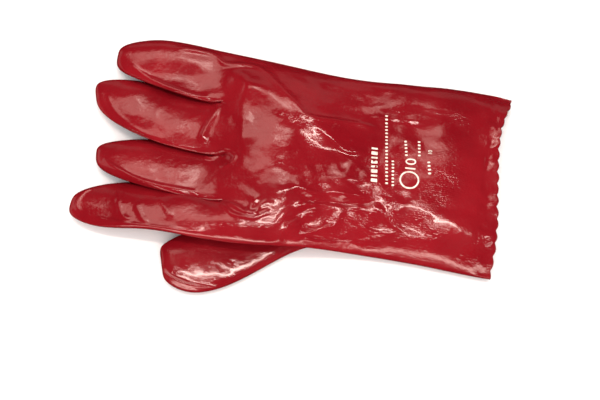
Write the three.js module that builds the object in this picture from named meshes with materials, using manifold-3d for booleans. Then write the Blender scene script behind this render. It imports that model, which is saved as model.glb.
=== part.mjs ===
// A right-hand dipped work glove, lying on its palm: one soft shell that is hollow from its open,
// scalloped cuff to the five fingertips. Millimetres, +Z up. The cuff points along +X, the fingers
// along -X, and the index finger and thumb lie on the -Y side.
import * as THREE from "three";
import { mergeVertices } from "three/addons/utils/BufferGeometryUtils.js";
import Module from "manifold-3d";

// Driving dimensions
const handLength = 180; // mouth of the cuff to the line where the fingers part
const palmWidth = 134; // across the knuckles, lying flat
const handHeight = 31; // floor to the highest point of the back of the hand
const fingerLength = 92; // knuckle line to the farthest fingertip
const fingerThickness = 15;
const thumbLength = 78; // from where the thumb leaves the palm
const thumbThickness = 13;
const wall = 1.4; // coating and its bonded jersey
const scallopPitch = 7.9;
const scallopDepth = 1.3;
const mouthBow = 5.4; // how far the mouth's middle stands back from its corners
const foldHeight = 4; // tallest fold on the back
const foldWidth = 17; // half width of the broadest fold

// Sections of the cuff and hand, from the mouth to the knuckles. reach is a share of handLength, far
// and near the side edges as shares of half the palm's width, and the heights shares of handHeight.
const sections = [
  { reach: -0.06, far: 1.0, near: -0.89, top: 0.7, farBase: -0.06, nearBase: -0.06 },
  { reach: 0.08, far: 1.03, near: -0.89, top: 0.68, farBase: -0.06, nearBase: -0.06 },
  { reach: 0.26, far: 1.01, near: -0.86, top: 0.7, farBase: -0.06, nearBase: -0.06 },
  { reach: 0.46, far: 0.95, near: -0.87, top: 0.77, farBase: -0.06, nearBase: -0.04 },
  { reach: 0.64, far: 0.94, near: -0.93, top: 0.88, farBase: -0.02, nearBase: 0.44 },
  { reach: 0.82, far: 0.97, near: -1.03, top: 1.0, farBase: 0.04, nearBase: 0.6 },
  { reach: 0.96, far: 1.01, near: -1.03, top: 1.0, farBase: 0.1, nearBase: 0.5 },
];

// Columns across the hand, from the little finger's edge to the index finger's. mouth and knuckle are
// the place across there, from 1 at the far edge to -1 at the near one, and crown and belly the shares
// of the height between base and top. The last section runs ahead by lead, a share of fingerLength, and
// has heights of its own, peak and sole, which pinch its two layers together between the fingers.
const columns = [
  { mouth: 1.0, knuckle: 1.0, crown: 0.42, belly: 0.12, lead: 0.14, peak: 0.42, sole: 0.12 },
  { mouth: 0.76, knuckle: 0.69, crown: 0.86, belly: 0.0, lead: 0.1, peak: 0.76, sole: 0.0 },
  { mouth: 0.52, knuckle: 0.37, crown: 0.98, belly: 0.0, lead: 0.12, peak: 0.68, sole: 0.26 },
  { mouth: 0.26, knuckle: 0.12, crown: 1.0, belly: 0.0, lead: 0.04, peak: 0.84, sole: 0.0 },
  { mouth: 0.0, knuckle: -0.16, crown: 1.0, belly: 0.0, lead: -0.02, peak: 0.7, sole: 0.26 },
  { mouth: -0.26, knuckle: -0.39, crown: 1.0, belly: 0.0, lead: -0.04, peak: 0.86, sole: 0.04 },
  { mouth: -0.52, knuckle: -0.63, crown: 0.96, belly: 0.0, lead: -0.06, peak: 0.72, sole: 0.32 },
  { mouth: -0.78, knuckle: -0.83, crown: 0.94, belly: 0.0, lead: -0.04, peak: 0.9, sole: 0.3 },
  { mouth: -1.0, knuckle: -1.0, crown: 0.5, belly: 0.12, lead: 0.0, peak: 0.74, sole: 0.52 },
];
const perFinger = 2; // column steps that each finger takes up

// Rings of the fingers, little finger first, and each from its root to its tip. reach is the middle of
// the ring, as a share of fingerLength past the knuckle line, and slant how far the far edge runs ahead
// of the near one. far and near are the side edges as shares of half the palm's width. The rest are
// shares of fingerThickness: the heights of both edges, the thickness, and how far the lower rim of the
// near edge stands out past its upper one.
const fingers = [
  [
    { reach: 0.22, slant: 0.04, far: 1.04, near: 0.375, farRise: 0.36, nearRise: 1.0, thick: 1.12, under: 0.0 },
    { reach: 0.46, slant: 0.0, far: 1.07, near: 0.44, farRise: 0.34, nearRise: 0.94, thick: 0.96, under: 0.0 },
    { reach: 0.7, slant: -0.02, far: 1.05, near: 0.55, farRise: 0.34, nearRise: 0.8, thick: 0.86, under: 0.16 },
    { reach: 0.9, slant: 0.02, far: 0.9, near: 0.66, farRise: 0.4, nearRise: 0.5, thick: 0.66, under: 0.2 },
  ],
  [
    { reach: 0.18, slant: 0.06, far: 0.41, near: -0.17, farRise: 0.28, nearRise: 0.98, thick: 1.15, under: 0.0 },
    { reach: 0.44, slant: 0.06, far: 0.57, near: -0.13, farRise: 0.26, nearRise: 0.92, thick: 1.04, under: 0.0 },
    { reach: 0.73, slant: 0.08, far: 0.6, near: -0.03, farRise: 0.26, nearRise: 0.78, thick: 0.86, under: 0.0 },
    { reach: 0.985, slant: 0.09, far: 0.5, near: 0.16, farRise: 0.36, nearRise: 0.5, thick: 0.56, under: 0.0 },
  ],
  [
    { reach: 0.12, slant: 0.04, far: -0.15, near: -0.64, farRise: 0.3, nearRise: 1.06, thick: 1.2, under: 0.0 },
    { reach: 0.38, slant: 0.04, far: 0.01, near: -0.61, farRise: 0.26, nearRise: 1.0, thick: 1.1, under: 0.0 },
    { reach: 0.65, slant: 0.02, far: -0.05, near: -0.48, farRise: 0.28, nearRise: 0.84, thick: 0.9, under: 0.5 },
    { reach: 0.87, slant: 0.04, far: -0.18, near: -0.4, farRise: 0.4, nearRise: 0.52, thick: 0.66, under: 0.25 },
  ],
  [
    { reach: 0.12, slant: 0.0, far: -0.62, near: -1.03, farRise: 0.56, nearRise: 1.36, thick: 1.2, under: 0.0 },
    { reach: 0.4, slant: 0.0, far: -0.46, near: -1.01, farRise: 0.3, nearRise: 1.24, thick: 1.15, under: 0.0 },
    { reach: 0.7, slant: 0.0, far: -0.51, near: -1.06, farRise: 0.28, nearRise: 0.7, thick: 0.9, under: 0.0 },
    { reach: 0.96, slant: 0.0, far: -0.7, near: -0.96, farRise: 0.38, nearRise: 0.44, thick: 0.56, under: 0.0 },
  ],
];

// The thumb: the hole that it leaves by, in the sections and columns of the palm sheet, and its rings,
// with the same columns as the fingers' but shares of thumbLength and thumbThickness.
const thumbHole = { sectionIndex: 3, columnIndex: 5, steps: 2 };
const thumb = [
  { reach: -0.6, slant: 0.26, far: -0.53, near: -0.92, farRise: 0.38, nearRise: 0.34, thick: 0.78, under: 0.0 },
  { reach: -0.4, slant: 0.22, far: -0.74, near: -1.14, farRise: 0.36, nearRise: 0.36, thick: 0.84, under: 0.0 },
  { reach: -0.16, slant: 0.22, far: -0.82, near: -1.38, farRise: 0.36, nearRise: 0.4, thick: 0.94, under: 0.0 },
  { reach: 0.09, slant: 0.16, far: -0.93, near: -1.52, farRise: 0.38, nearRise: 0.4, thick: 0.94, under: 0.0 },
  { reach: 0.29, slant: 0.1, far: -1.1, near: -1.42, farRise: 0.4, nearRise: 0.4, thick: 0.6, under: 0.0 },
];
const insetPasses = 4; // rounds of pushing the inner surface clear of hollows
const sideEdge = 0.2; // half height of a digit's side edge, as a share of its thickness
const middleRise = 0.5; // half height of a digit's middle, as a share of its thickness

// Folds on the back of the hand: ends as shares of handLength and of half the palm's width, and
// shares of foldWidth and foldHeight, where a negative rise is a valley.
const folds = [
  { fromReach: 0.98, fromSide: 0.62, toReach: 0.62, toSide: 0.18, width: 0.55, rise: 0.8 },
  { fromReach: 0.9, fromSide: 0.86, toReach: 0.6, toSide: 0.62, width: 1.0, rise: -0.7 },
  { fromReach: 0.74, fromSide: -0.5, toReach: 0.46, toSide: -0.22, width: 0.6, rise: 0.6 },
  { fromReach: 0.66, fromSide: -0.72, toReach: 0.3, toSide: -0.62, width: 0.6, rise: -0.7 },
  { fromReach: 0.45, fromSide: 0.42, toReach: 0.12, toSide: 0.5, width: 0.8, rise: -0.5 },
  { fromReach: 0.3, fromSide: -0.3, toReach: 0.02, toSide: -0.5, width: 0.9, rise: 0.4 },
];

// The line of the mouth across the cuff, as shares of half the palm's width and of mouthBow.
const mouthLine = [
  { side: -0.62, back: 0.0 },
  { side: -0.4, back: 0.1 },
  { side: -0.2, back: 0.38 },
  { side: 0.0, back: 0.62 },
  { side: 0.2, back: 0.85 },
  { side: 0.4, back: 1.0 },
  { side: 0.58, back: 0.97 },
  { side: 0.74, back: 0.6 },
  { side: 0.88, back: 0.15 },
  { side: 0.98, back: 0.0 },
];

const halfPalm = palmWidth / 2;
const lerp = THREE.MathUtils.lerp;
const place = (reach, side, height) => new THREE.Vector3(-reach, side, height);

// The control cage: points, and faces of four corners that run anticlockwise seen from outside.
const points = [];
const faces = [];
const addPoint = (point) => points.push(point) - 1;

// One ring of the hand: the indices of its top and bottom points, column by column.
function handRing(section) {
  const shareAlong = THREE.MathUtils.clamp(section.reach, 0, 1);
  const atKnuckles = section === sections.at(-1);
  const rows = { top: [], bottom: [] };
  columns.forEach((column, j) => {
    const nearness = j / (columns.length - 1);
    const across = lerp(column.mouth, column.knuckle, shareAlong);
    const side = lerp(section.near, section.far, (across + 1) / 2) * halfPalm;
    const lead = column.lead * (atKnuckles ? 1 : shareAlong ** 8) * fingerLength;
    const reach = section.reach * handLength + lead;
    const base = lerp(section.farBase, section.nearBase, nearness ** 1.8);
    const top = atKnuckles ? column.peak : lerp(base, section.top, column.crown);
    const bottom = atKnuckles ? column.sole : lerp(base, section.top, column.belly);
    rows.top.push(addPoint(place(reach, side, top * handHeight)));
    rows.bottom.push(addPoint(place(reach, side, bottom * handHeight)));
  });
  return rows;
}

function buildHand() {
  const rings = sections.map(handRing);
  const last = columns.length - 1;
  for (let i = 0; i + 1 < rings.length; i++) {
    const a = rings[i];
    const b = rings[i + 1];
    for (let j = 0; j < last; j++) {
      faces.push([a.top[j], b.top[j], b.top[j + 1], a.top[j + 1]]);
      const stepAlong = i - thumbHole.sectionIndex;
      const stepAcross = j - thumbHole.columnIndex;
      const inThumbHole = [stepAlong, stepAcross].every((step) => step >= 0 && step < thumbHole.steps);
      if (!inThumbHole) faces.push([a.bottom[j], a.bottom[j + 1], b.bottom[j + 1], b.bottom[j]]);
    }
    faces.push([a.top[0], a.bottom[0], b.bottom[0], b.top[0]]);
    faces.push([a.top[last], b.top[last], b.bottom[last], a.bottom[last]]);
  }
  return rings;
}

// Joins two rings of the same number of points.
function bridge(ringA, ringB) {
  ringA.forEach((id, k) => {
    const next = (k + 1) % ringA.length;
    faces.push([id, ringB[k], ringB[next], ringA[next]]);
  });
}

// The points of one ring of a digit: far, middle and near along the top, and back along the underside.
function digitRing(ring, length, thickness) {
  const half = (ring.slant * length) / 2;
  const reach = handLength + ring.reach * length;
  const thick = ring.thick * thickness;
  const farHeight = ring.farRise * thickness;
  const nearHeight = ring.nearRise * thickness;
  const far = (up) => place(reach + half, ring.far * halfPalm, farHeight + up);
  const near = (up, out) => place(reach - half, ring.near * halfPalm - out, nearHeight + up);
  const middle = (up) => place(reach, ((ring.far + ring.near) / 2) * halfPalm, (farHeight + nearHeight) / 2 + up);
  const edge = sideEdge * thick;
  const rise = middleRise * thick;
  return { far, near, middle, edge, rise, out: ring.under * thickness };
}

function buildFinger(rows, rootRing) {
  let ring = [...rootRing.top, ...rootRing.bottom.slice().reverse()];
  for (const row of rows) {
    const { far, near, middle, edge, rise, out } = digitRing(row, fingerLength, fingerThickness);
    const corners = [far(edge), middle(rise), near(edge, 0), near(-edge, out), middle(-rise), far(-edge)];
    const next = corners.map(addPoint);
    bridge(ring, next);
    ring = next;
  }
  faces.push([ring[0], ring[5], ring[4], ring[1]], [ring[1], ring[4], ring[3], ring[2]]);
}

// The thumb leaves by a hole two columns and two sections wide in the palm sheet.
function buildThumb(rings) {
  const [back, middleRow, front] = [0, 1, 2].map((k) => rings[thumbHole.sectionIndex + k].bottom);
  const [first, centre, last] = [0, 1, 2].map((k) => thumbHole.columnIndex + k);
  let ring = [
    front[first], front[centre], front[last], middleRow[last],
    back[last], back[centre], back[first], middleRow[first],
  ];
  for (const row of thumb) {
    const { far, near, middle, edge, rise } = digitRing(row, thumbLength, thumbThickness);
    const corners = [
      far(edge * 1.5), middle(rise), near(edge * 1.5, 0), near(0, 0),
      near(-edge * 1.5, 0), middle(-rise), far(-edge * 1.5), far(0),
    ];
    const next = corners.map(addPoint);
    bridge(ring, next);
    ring = next;
  }
  faces.push(
    [ring[0], ring[7], ring[6], ring[5]],
    [ring[0], ring[5], ring[4], ring[1]],
    [ring[1], ring[4], ring[3], ring[2]],
  );
}

// One round of Catmull-Clark subdivision. The first points of the result are the old ones, moved.
function subdivide(cage) {
  const { points: old, faces: quads } = cage;
  const facePoints = quads.map((q) =>
    q.reduce((sum, id) => sum.add(old[id]), new THREE.Vector3()).multiplyScalar(0.25),
  );
  const edges = new Map();
  const around = old.map(() => ({ faces: [], edges: [] }));
  quads.forEach((quad, f) =>
    quad.forEach((a, k) => {
      const b = quad[(k + 1) % 4];
      const key = a < b ? a + "_" + b : b + "_" + a;
      if (!edges.has(key)) {
        const edge = { a, b, faces: [] };
        edges.set(key, edge);
        around[a].edges.push(edge);
        around[b].edges.push(edge);
      }
      edges.get(key).faces.push(f);
      around[a].faces.push(f);
    }),
  );
  const moved = old.map((point, v) => {
    const { faces: near, edges: spokes } = around[v];
    const rim = spokes.filter((edge) => edge.faces.length === 1);
    const sum = new THREE.Vector3();
    if (rim.length) {
      rim.forEach((edge) => sum.add(old[edge.a === v ? edge.b : edge.a]));
      return sum.addScaledVector(point, 6).divideScalar(8);
    }
    const n = near.length;
    if (!n) return point.clone(); // the point in the middle of the thumb's hole
    near.forEach((f) => sum.addScaledVector(facePoints[f], 1 / n));
    spokes.forEach((edge) => sum.addScaledVector(old[edge.a].clone().add(old[edge.b]), 1 / n));
    return sum.addScaledVector(point, n - 3).divideScalar(n);
  });
  const result = { points: moved, faces: [] };
  for (const edge of edges.values()) {
    const middle = old[edge.a].clone().add(old[edge.b]);
    if (edge.faces.length === 2) {
      edge.faces.forEach((f) => middle.add(facePoints[f]));
      middle.divideScalar(2);
    }
    edge.id = result.points.push(middle.divideScalar(2)) - 1;
  }
  quads.forEach((quad, f) => {
    const centre = result.points.push(facePoints[f]) - 1;
    const sides = quad.map((a, k) => {
      const b = quad[(k + 1) % 4];
      return edges.get(a < b ? a + "_" + b : b + "_" + a).id;
    });
    quad.forEach((a, k) => result.faces.push([a, sides[k], centre, sides[(k + 3) % 4]]));
  });
  return result;
}

function normalsOf(cage) {
  const normals = cage.points.map(() => new THREE.Vector3());
  for (const [a, b, c, d] of cage.faces) {
    const p = cage.points;
    const normal = p[c].clone().sub(p[a]).cross(p[d].clone().sub(p[b]));
    [a, b, c, d].forEach((id) => normals[id].add(normal));
  }
  return normals.map((normal) => normal.normalize());
}

// Raises or sinks the upper surface along each fold, fading towards the fold's ends and sides.
function pressFolds(cage) {
  const normals = normalsOf(cage);
  cage.points.forEach((point, id) => {
    const facingUp = THREE.MathUtils.smoothstep(normals[id].z, 0.2, 0.8);
    for (const fold of folds) {
      const from = place(fold.fromReach * handLength, fold.fromSide * halfPalm, 0);
      const to = place(fold.toReach * handLength, fold.toSide * halfPalm, 0);
      const flat = new THREE.Vector3(point.x, point.y, 0);
      const nearest = new THREE.Line3(from, to).closestPointToPoint(flat, true, new THREE.Vector3());
      const off = flat.distanceTo(nearest) / (fold.width * foldWidth);
      point.z += facingUp * fold.rise * foldHeight * Math.exp(-off * off);
    }
  });
}

// The inner surface: the coarser cage's faces, set in by the wall from the outer surface's points. Where
// such a face cuts across a hollow, its corners go in until its middle and its sides keep the wall too.
function insetOf(outside, coarse) {
  const normals = normalsOf(outside);
  const inset = coarse.points.map((_, id) => outside.points[id].clone().addScaledVector(normals[id], -wall));
  const keepWall = (id, corners) => {
    const middle = corners.reduce((sum, c) => sum.add(inset[c]), new THREE.Vector3()).divideScalar(corners.length);
    const missing = wall - outside.points[id].clone().sub(middle).dot(normals[id]);
    if (missing > 0) corners.forEach((c) => inset[c].addScaledVector(normals[id], -missing));
  };
  for (let pass = 0; pass < insetPasses; pass++) {
    coarse.faces.forEach((quad, f) => {
      keepWall(outside.faces[4 * f][2], quad);
      quad.forEach((a, k) => keepWall(outside.faces[4 * f + k][1], [a, quad[(k + 1) % 4]]));
    });
  }
  return { points: inset, faces: coarse.faces };
}

// Two triangles of a face, split along the diagonal that bends it less.
function splitQuad({ points: p }, [a, b, c, d]) {
  const normal = (i, j, k) => p[j].clone().sub(p[i]).cross(p[k].clone().sub(p[i])).normalize();
  const alongAC = normal(a, b, c).dot(normal(a, c, d));
  const alongBD = normal(a, b, d).dot(normal(b, c, d));
  return alongAC >= alongBD ? [a, b, c, a, c, d] : [a, b, d, b, c, d];
}

// A closed manifold solid of the cage, with its open mouth capped by a fan.
function solidOf(wasm, cage) {
  const vertices = cage.points.flatMap((point) => point.toArray());
  const triangles = cage.faces.flatMap((quad) => splitQuad(cage, quad));
  const oneWay = new Map();
  cage.faces.forEach((quad) =>
    quad.forEach((a, k) => {
      const b = quad[(k + 1) % 4];
      if (!oneWay.delete(b + "_" + a)) oneWay.set(a + "_" + b, [a, b]);
    }),
  );
  const rim = [...oneWay.values()];
  const centre = middleOfRim(cage, rim);
  const hub = vertices.push(...centre.toArray()) / 3 - 1;
  rim.forEach(([a, b]) => triangles.push(b, a, hub));
  return new wasm.Manifold(
    new wasm.Mesh({ numProp: 3, vertProperties: new Float32Array(vertices), triVerts: new Uint32Array(triangles) }),
  );
}

function middleOfRim(cage, rim) {
  return rim
    .reduce((sum, [a]) => sum.add(cage.points[a]), new THREE.Vector3())
    .divideScalar(rim.length);
}

// How far the mouth stands back at a place across the cuff.
function mouthBack(side) {
  const share = side / halfPalm;
  const next = mouthLine.findIndex((row) => row.side > share);
  if (next <= 0) return 0;
  const [a, b] = [mouthLine[next - 1], mouthLine[next]];
  return lerp(a.back, b.back, THREE.MathUtils.smoothstep(share, a.side, b.side)) * mouthBow;
}

// The block that trims the mouth through both layers at once, its edge a row of arcs.
function scallopedCutter() {
  const deepest = scallopDepth / 2;
  const count = Math.round((palmWidth * 1.2) / scallopPitch);
  const stepsPerScallop = 6;
  const halfSpan = (count * scallopPitch) / 2;
  const shape = new THREE.Shape();
  shape.moveTo(handLength, -halfSpan);
  shape.lineTo(handLength, halfSpan);
  for (let i = count * stepsPerScallop; i >= 0; i--) {
    const phase = i / stepsPerScallop;
    const wave = Math.abs(Math.sin(Math.PI * phase)) * scallopDepth - deepest;
    const side = phase * scallopPitch - halfSpan;
    shape.lineTo(wave - mouthBack(side), side);
  }
  const height = handHeight * 3;
  return new THREE.ExtrudeGeometry(shape, { depth: height, bevelEnabled: false }).translate(0, 0, -height / 3);
}

function solidOfGeometry(wasm, geometry) {
  const plain = new THREE.BufferGeometry();
  plain.setAttribute("position", geometry.getAttribute("position"));
  const merged = mergeVertices(plain);
  return new wasm.Manifold(
    new wasm.Mesh({
      numProp: 3,
      vertProperties: merged.getAttribute("position").array,
      triVerts: new Uint32Array(merged.index.array),
    }),
  );
}

function geometryOf(solid) {
  const mesh = solid.getMesh();
  return new THREE.BufferGeometry()
    .setAttribute("position", new THREE.BufferAttribute(mesh.vertProperties, mesh.numProp))
    .setIndex(new THREE.BufferAttribute(mesh.triVerts, 1));
}

const wasm = await Module();
wasm.setup();

const rings = buildHand();
fingers.forEach((finger, f) => {
  const last = rings.at(-1);
  const from = f * perFinger;
  buildFinger(finger, {
    top: last.top.slice(from, from + perFinger + 1),
    bottom: last.bottom.slice(from, from + perFinger + 1),
  });
});
buildThumb(rings);

const coarse = subdivide({ points, faces });
const outside = subdivide(coarse);
pressFolds(outside);
outside.points.forEach((point) => (point.z = Math.max(point.z, 0)));

const inside = insetOf(outside, coarse);

const shell = solidOf(wasm, outside)
  .subtract(solidOf(wasm, inside))
  .subtract(solidOfGeometry(wasm, scallopedCutter()));

const pvc = new THREE.MeshStandardMaterial({ color: 0x9e1220, roughness: 0.28, metalness: 0 });
const glove = new THREE.Mesh(geometryOf(shell), pvc);
glove.name = "glove_shell";
glove.geometry.computeBoundingBox();
const box = glove.geometry.boundingBox;
glove.geometry.translate(-(box.min.x + box.max.x) / 2, -(box.min.y + box.max.y) / 2, -box.min.z);

const assembly = new THREE.Group();
assembly.add(glove);
export default assembly;
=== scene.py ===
"""A dipped PVC work glove lying on its palm: the coat with its folds, the jersey inside and the print."""

import math

import bmesh
import bpy
import numpy as np
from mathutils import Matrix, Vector, noise
from mathutils.bvhtree import BVHTree


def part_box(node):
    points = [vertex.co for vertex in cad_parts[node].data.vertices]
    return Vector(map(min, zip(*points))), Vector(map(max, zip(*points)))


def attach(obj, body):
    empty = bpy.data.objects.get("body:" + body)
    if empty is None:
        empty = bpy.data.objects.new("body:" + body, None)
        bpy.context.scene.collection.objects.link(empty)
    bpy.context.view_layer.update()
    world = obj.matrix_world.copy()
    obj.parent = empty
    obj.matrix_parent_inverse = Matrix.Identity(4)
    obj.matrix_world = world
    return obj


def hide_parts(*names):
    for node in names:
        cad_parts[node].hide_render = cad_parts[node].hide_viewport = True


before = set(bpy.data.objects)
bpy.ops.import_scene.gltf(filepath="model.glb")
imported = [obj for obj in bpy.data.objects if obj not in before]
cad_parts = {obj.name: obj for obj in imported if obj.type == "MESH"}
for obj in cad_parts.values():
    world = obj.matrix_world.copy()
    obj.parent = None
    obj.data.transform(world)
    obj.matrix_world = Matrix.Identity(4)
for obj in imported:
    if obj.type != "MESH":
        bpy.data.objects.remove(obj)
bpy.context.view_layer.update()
MM = 0.001

# The CAD model's sizes, in millimetres
HAND_LENGTH = 180.0  # mouth of the cuff to the line where the fingers part
PALM_WIDTH = 134.0  # across the knuckles, lying flat
HALF_PALM = PALM_WIDTH / 2
HAND_HEIGHT = 31.0  # floor to the highest point of the back of the hand
FINGER_LENGTH = 92.0  # knuckle line to the farthest fingertip
FINGER_THICKNESS = 15.0
THUMB_LENGTH = 78.0  # from where the thumb leaves the palm
THUMB_THICKNESS = 13.0
WALL = 1.4  # coating and its bonded jersey
SCALLOP_PITCH = 7.9
SCALLOP_DEPTH = 1.3
SCALLOPED_SPAN = 1.2  # width of the row of scallops, as a share of the palm's width
MOUTH_BOW = 5.4  # how far the mouth's middle stands back from its corners
FOLD_HEIGHT = 4.0  # tallest broad fold
FOLD_WIDTH = 17.0  # half width of the broadest fold

# The camera, in degrees and millimetres, seen from the cage's own origin
CAMERA_AZIMUTH = 10.0
CAMERA_ELEVATION = 68.0
CAMERA_DISTANCE = 734.0
CAMERA_LENS = 70.0
CAMERA_TARGET = (124.0, -30.0, 12.0)  # reach, side, height

# The cage is the CAD model's, but the ring and middle fingers are broader at the root, so that the
# fingers close up there. Reach runs from the mouth to the fingertips, and side from the index finger's
# edge, which is the near one, to the little finger's, which is the far one.

# Sections of the cuff and hand: reach as a share of HAND_LENGTH, the far and near side edges as shares
# of HALF_PALM, then the top, the far base and the near base as shares of HAND_HEIGHT
SECTIONS = [
    (-0.06, 1.0, -0.89, 0.7, -0.06, -0.06),
    (0.08, 1.03, -0.89, 0.68, -0.06, -0.06),
    (0.26, 1.01, -0.86, 0.7, -0.06, -0.06),
    (0.46, 0.95, -0.87, 0.77, -0.06, -0.04),
    (0.64, 0.94, -0.93, 0.88, -0.02, 0.44),
    (0.82, 0.97, -1.03, 1.0, 0.04, 0.6),
    (0.96, 1.01, -1.03, 1.0, 0.1, 0.5),
]
BASE_BEND = 1.8  # above 1, the base stays close to its far height for longer

# Columns across the hand, from the far edge to the near one: the place across at the mouth and at the
# knuckles, crown and belly as shares of the height between base and top, then for the last section how
# far it leads, as a share of FINGER_LENGTH, and its own upper and lower heights, peak and sole
COLUMNS = [
    (1.0, 1.0, 0.42, 0.12, 0.14, 0.42, 0.12),
    (0.76, 0.69, 0.86, 0.0, 0.1, 0.76, 0.0),
    (0.52, 0.37, 0.98, 0.0, 0.12, 0.68, 0.26),
    (0.26, 0.12, 1.0, 0.0, 0.04, 0.84, 0.0),
    (0.0, -0.16, 1.0, 0.0, -0.02, 0.7, 0.26),
    (-0.26, -0.39, 1.0, 0.0, -0.04, 0.86, 0.04),
    (-0.52, -0.63, 0.96, 0.0, -0.06, 0.72, 0.32),
    (-0.78, -0.83, 0.94, 0.0, -0.04, 0.9, 0.3),
    (-1.0, -1.0, 0.5, 0.12, 0.0, 0.74, 0.52),
]
LEAD_ONSET = 8  # the higher, the closer to the knuckles the columns start to lead
PER_FINGER = 2  # column steps that each finger takes up

# Rings of the fingers, from root to tip: the middle's reach past the knuckle line and how far the far
# edge runs ahead, as shares of FINGER_LENGTH, the far and near edges as shares of HALF_PALM, then as
# shares of FINGER_THICKNESS the heights of both edges, the thickness and how far the near edge's lower
# rim stands out
FINGERS = {
    "little": [
        (0.22, 0.04, 1.04, 0.375, 0.36, 1.0, 1.12, 0.0),
        (0.46, 0.0, 1.07, 0.44, 0.34, 0.94, 0.96, 0.0),
        (0.7, -0.02, 1.05, 0.55, 0.34, 0.8, 0.86, 0.16),
        (0.9, 0.02, 0.9, 0.66, 0.4, 0.5, 0.66, 0.2),
    ],
    "ring": [
        (0.18, 0.06, 0.52, -0.17, 0.28, 0.98, 1.15, 0.0),
        (0.44, 0.06, 0.57, -0.13, 0.26, 0.92, 1.04, 0.0),
        (0.73, 0.08, 0.6, -0.03, 0.26, 0.78, 0.86, 0.0),
        (0.985, 0.09, 0.5, 0.16, 0.36, 0.5, 0.56, 0.0),
    ],
    "middle": [
        (0.12, 0.04, -0.03, -0.64, 0.3, 1.06, 1.2, 0.0),
        (0.38, 0.04, 0.01, -0.61, 0.26, 1.0, 1.1, 0.0),
        (0.65, 0.02, -0.05, -0.48, 0.28, 0.84, 0.9, 0.5),
        (0.87, 0.04, -0.18, -0.4, 0.4, 0.52, 0.66, 0.25),
    ],
    "index": [
        (0.12, 0.0, -0.5, -1.03, 0.56, 1.36, 1.2, 0.0),
        (0.4, 0.0, -0.46, -1.01, 0.3, 1.24, 1.15, 0.0),
        (0.7, 0.0, -0.51, -1.06, 0.28, 0.7, 0.9, 0.0),
        (0.96, 0.0, -0.7, -0.96, 0.38, 0.44, 0.56, 0.0),
    ],
}

# Rings of the thumb: the same, with shares of THUMB_LENGTH and THUMB_THICKNESS
THUMB = [
    (-0.6, 0.26, -0.53, -0.92, 0.38, 0.34, 0.78, 0.0),
    (-0.4, 0.22, -0.74, -1.14, 0.36, 0.36, 0.84, 0.0),
    (-0.16, 0.22, -0.82, -1.38, 0.36, 0.4, 0.94, 0.0),
    (0.09, 0.16, -0.93, -1.52, 0.38, 0.4, 0.94, 0.0),
    (0.29, 0.1, -1.1, -1.42, 0.4, 0.4, 0.6, 0.0),
]
THUMB_HOLE = (3, 5)  # first section and column of the hole in the palm that it grows out of
THUMB_EDGE = 1.5  # how much thicker the thumb's edges are than a finger's

SIDE_EDGE = 0.2  # half height of a digit's edges, as a share of its thickness
MIDDLE_RISE = 0.5  # the same for its middle
ROOT_SHARPNESS = 0.6  # how sharp a finger's near edge is beside its root, as a share of the rest
SUBDIVISIONS = 4
BOX_LEVEL = 2  # the CAD model's rounds: after them the cage's corner is where the model's is

# Side and how far back the mouth stands there, as shares of HALF_PALM and MOUTH_BOW
MOUTH_LINE = [
    (-0.62, 0.0), (-0.4, 0.1), (-0.2, 0.38), (0.0, 0.62), (0.2, 0.85),
    (0.4, 1.0), (0.58, 0.97), (0.74, 0.6), (0.88, 0.15), (0.98, 0.0),
]
MOUTH_BLEND = 14.0  # reach from which the cuff is drawn up to the rim
RIPPLE = 0.03  # height of the ripples that follow the scallops
RIPPLE_FROM = 0.1  # share of the way from there to the cage's end where they begin
RIPPLE_FACING = 0.5  # upward or downward part of a normal from which they are made

# How many rounds of subdivision each finger's upper near edge stays sharp for
EDGE_SHARPNESS = {"little": 3.0, "ring": 1.6, "middle": 3.0, "index": 1.6}

# The CAD model's folds: reach and side of both ends as shares of HAND_LENGTH and HALF_PALM, half width
# and rise as shares of FOLD_WIDTH and FOLD_HEIGHT
BROAD_FOLDS = [
    (0.98, 0.62, 0.62, 0.18, 0.55, 0.8),
    (0.9, 0.86, 0.6, 0.62, 1.0, -0.7),
    (0.74, -0.5, 0.46, -0.22, 0.6, 0.6),
    (0.66, -0.72, 0.3, -0.62, 0.6, -0.7),
    (0.45, 0.42, 0.12, 0.5, 0.8, -0.5),
    (0.3, -0.3, 0.02, -0.5, 0.9, 0.4),
]

# Each point of the cage belongs to one part, and a fold or lump moves only the parts that it names
PARTS = ["hand", "little", "ring", "middle", "index", "thumb"]

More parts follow.
